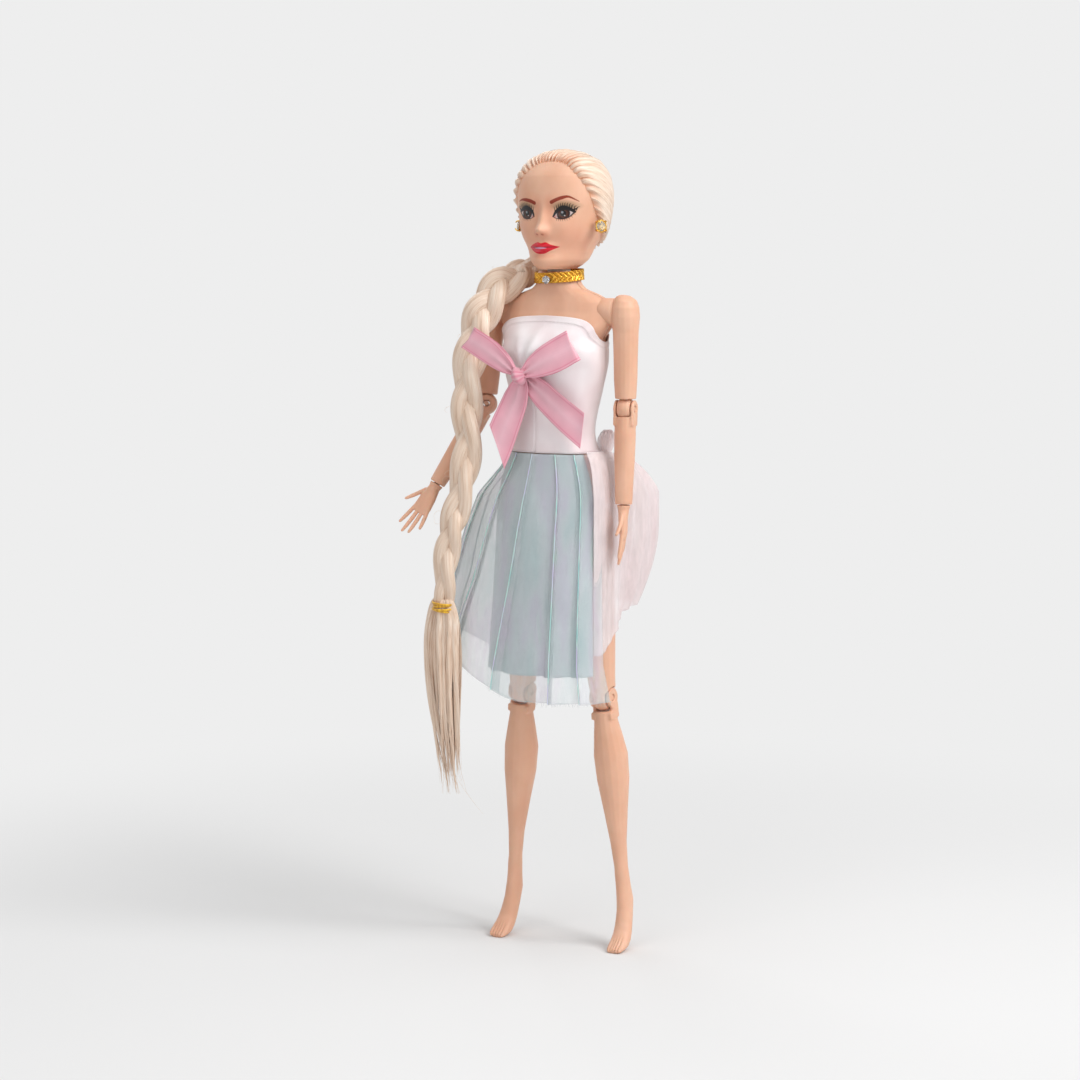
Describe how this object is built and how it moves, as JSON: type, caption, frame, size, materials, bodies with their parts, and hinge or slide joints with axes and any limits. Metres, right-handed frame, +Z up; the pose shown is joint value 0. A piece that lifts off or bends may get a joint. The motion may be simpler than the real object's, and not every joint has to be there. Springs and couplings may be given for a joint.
{
  "type": "fashion doll",
  "caption": "Jointed fashion doll on tiptoe with a long side braid, satin bodice with a ribbon bow, sheer pleated skirt and a puffed train.",
  "frame": {"origin": "bottom centre of the box round the whole doll, on the floor under its feet", "axes": "+Z up, from feet to head; +X towards the doll's left hand; -Y the way the doll faces"},
  "size_m": [0.0854, 0.0604, 0.2898],
  "materials": {
    "skin": "satin peach vinyl and plastic",
    "white_plastic": "satin",
    "steel": "brushed",
    "gold_ribbon": "woven metallic thread",
    "gilt_metal": "polished",
    "clear_stone": "clear, faceted",
    "white_satin": "satin sheen",
    "hook_tape": "matte woven tape",
    "pink_ribbon": "sheer ribbon with satin edges",
    "blue_satin": "satin sheen",
    "sheer_film": "sheer, iridescent",
    "pink_organza": "sheer organza",
    "hair": "fine silky strands",
    "tie_elastic": "satin"
  },
  "bodies": {
    "torso": {"torso_front": "skin", "torso_back": "skin", "neck_knob": "white_plastic", "hip_axle": "steel", "choker_band": "gold_ribbon", "choker_setting": "gilt_metal", "choker_stone": "clear_stone", "bodice": "white_satin", "bodice_closure": "hook_tape", "bow_knot": "pink_ribbon", "bow_left_loop": "pink_ribbon", "bow_right_loop": "pink_ribbon", "bow_left_tail": "pink_ribbon", "bow_right_tail": "pink_ribbon", "skirt_lining": "blue_satin", "skirt_overlay": "sheer_film", "skirt_flare": "sheer_film", "back_train": "pink_organza", "train_ear": "pink_organza", "braid": "hair", "hair_tie": "tie_elastic", "hair_tuft": "hair"},
    "head": {"head": "skin", "hair_cap": "hair", "hair_gather": "hair", "left_earring_mount": "gilt_metal", "left_earring_stone": "clear_stone", "right_earring_mount": "gilt_metal", "right_earring_stone": "clear_stone"},
    "left_upper_arm": {"left_upper_arm": "skin", "left_shoulder_peg": "steel"},
    "left_elbow": {"left_elbow_link": "skin", "left_elbow_pin": "steel"},
    "left_forearm": {"left_forearm": "skin"},
    "left_hand": {"left_hand": "skin"},
    "left_thigh": {"left_thigh": "skin", "left_knee_pin": "steel"},
    "left_lower_leg": {"left_lower_leg": "skin"},
    "right_upper_arm": {"right_upper_arm": "skin", "right_shoulder_peg": "steel"},
    "right_elbow": {"right_elbow_link": "skin", "right_elbow_pin": "steel"},
    "right_forearm": {"right_forearm": "skin"},
    "right_hand": {"right_hand": "skin"},
    "right_thigh": {"right_thigh": "skin", "right_knee_pin": "steel"},
    "right_lower_leg": {"right_lower_leg": "skin"}
  },
  "joints": [
    {"name": "neck_turn", "type": "hinge", "parent": "torso", "child": "head", "pos_m": [0.01074, -0.00238, 0.2473], "axis": [0, 0, 1], "range_deg": [-70, 70], "deforming": ["hair_gather", "braid", "hair_tie", "hair_tuft"]},
    {"name": "left_shoulder_swing", "type": "hinge", "parent": "torso", "child": "left_upper_arm", "pos_m": [0.03224, -0.00288, 0.23222], "axis": [-1, 0, 0], "range_deg": [-45, 150]},
    {"name": "left_elbow_swivel", "type": "hinge", "parent": "left_upper_arm", "child": "left_elbow", "pos_m": [0.03774, -0.00288, 0.19802], "axis": [0, 0, 1], "range_deg": [-25, 80]},
    {"name": "left_elbow_bend", "type": "hinge", "parent": "left_elbow", "child": "left_forearm", "pos_m": [0.03774, -0.00288, 0.19802], "axis": [-0.9903, -0.1392, 0], "range_deg": [-3, 82]},
    {"name": "left_wrist_turn", "type": "hinge", "parent": "left_forearm", "child": "left_hand", "pos_m": [0.03798, -0.00464, 0.16407], "axis": [-0.0073, 0.0518, 0.9986], "range_deg": [-10, 90]},
    {"name": "right_shoulder_swing", "type": "hinge", "parent": "torso", "child": "right_upper_arm", "pos_m": [-0.01076, -0.00288, 0.23222], "axis": [-1, 0, 0], "range_deg": [-50, 6]},
    {"name": "right_elbow_swivel", "type": "hinge", "parent": "right_upper_arm", "child": "right_elbow", "pos_m": [-0.01626, -0.00764, 0.19835], "axis": [0, -0.1392, -0.9903], "range_deg": [-15, 25]},
    {"name": "right_elbow_bend", "type": "hinge", "parent": "right_elbow", "child": "right_forearm", "pos_m": [-0.01626, -0.00764, 0.19835], "axis": [-0.4695, 0.8744, -0.1229], "range_deg": [-8, 54]},
    {"name": "right_wrist_turn", "type": "hinge", "parent": "right_forearm", "child": "right_hand", "pos_m": [-0.03036, -0.01923, 0.16967], "axis": [-0.4145, -0.3411, -0.8437], "range_deg": [-80, 80]},
    {"name": "left_hip_swing", "type": "hinge", "parent": "torso", "child": "left_thigh", "pos_m": [0.02224, -0.00378, 0.155], "axis": [-1, 0, 0], "range_deg": [-12, 80], "deforming": ["skirt_lining", "skirt_overlay", "skirt_flare", "back_train", "train_ear"]},
    {"name": "left_knee_bend", "type": "hinge", "parent": "left_thigh", "child": "left_lower_leg", "pos_m": [0.02747, 0.00038, 0.09266], "axis": [0.9965, 0, 0.0837], "range_deg": [0, 80]},
    {"name": "right_hip_swing", "type": "hinge", "parent": "torso", "child": "right_thigh", "pos_m": [-0.00076, -0.00378, 0.155], "axis": [-1, 0, 0], "range_deg": [-12, 80], "deforming": ["skirt_lining", "skirt_overlay", "skirt_flare", "back_train", "train_ear"]},
    {"name": "right_knee_bend", "type": "hinge", "parent": "right_thigh", "child": "right_lower_leg", "pos_m": [-0.006, 0.00038, 0.09266], "axis": [0.9965, 0, -0.0837], "range_deg": [0, 80]}
  ]
}
